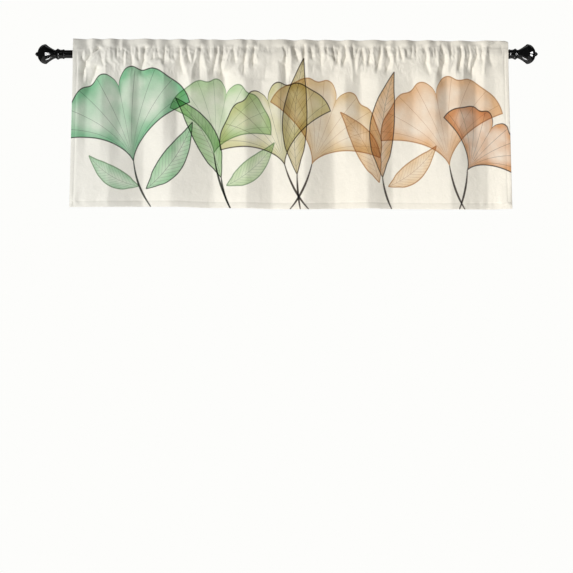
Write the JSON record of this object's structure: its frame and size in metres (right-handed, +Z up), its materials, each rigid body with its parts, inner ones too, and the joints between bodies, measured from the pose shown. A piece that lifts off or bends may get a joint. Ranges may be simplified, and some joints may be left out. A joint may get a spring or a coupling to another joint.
{
  "type": "window valance on a curtain rod",
  "caption": "Gathered rod-pocket window valance of printed cloth with a short ruffled header, hanging on a round black curtain rod with turned bell-shaped finials.",
  "frame": {"origin": "on the rod's axis, half way between the tips of the two finials", "axes": "+X along the rod, to the right as seen from the room, +Z up, -Y towards the room"},
  "size_m": [1.368, 0.0536, 0.4643],
  "materials": {
    "printed_cloth": "matt plain-woven ivory cloth with a large leaf print in soft greens and tans",
    "black_rod": "glossy black enamel on steel tube",
    "black_finial": "glossy black lacquer on a moulded finial"
  },
  "bodies": {
    "root": {"valance_cloth": "printed_cloth", "curtain_rod": "black_rod", "finial_left": "black_finial", "finial_right": "black_finial"}
  },
  "joints": []
}
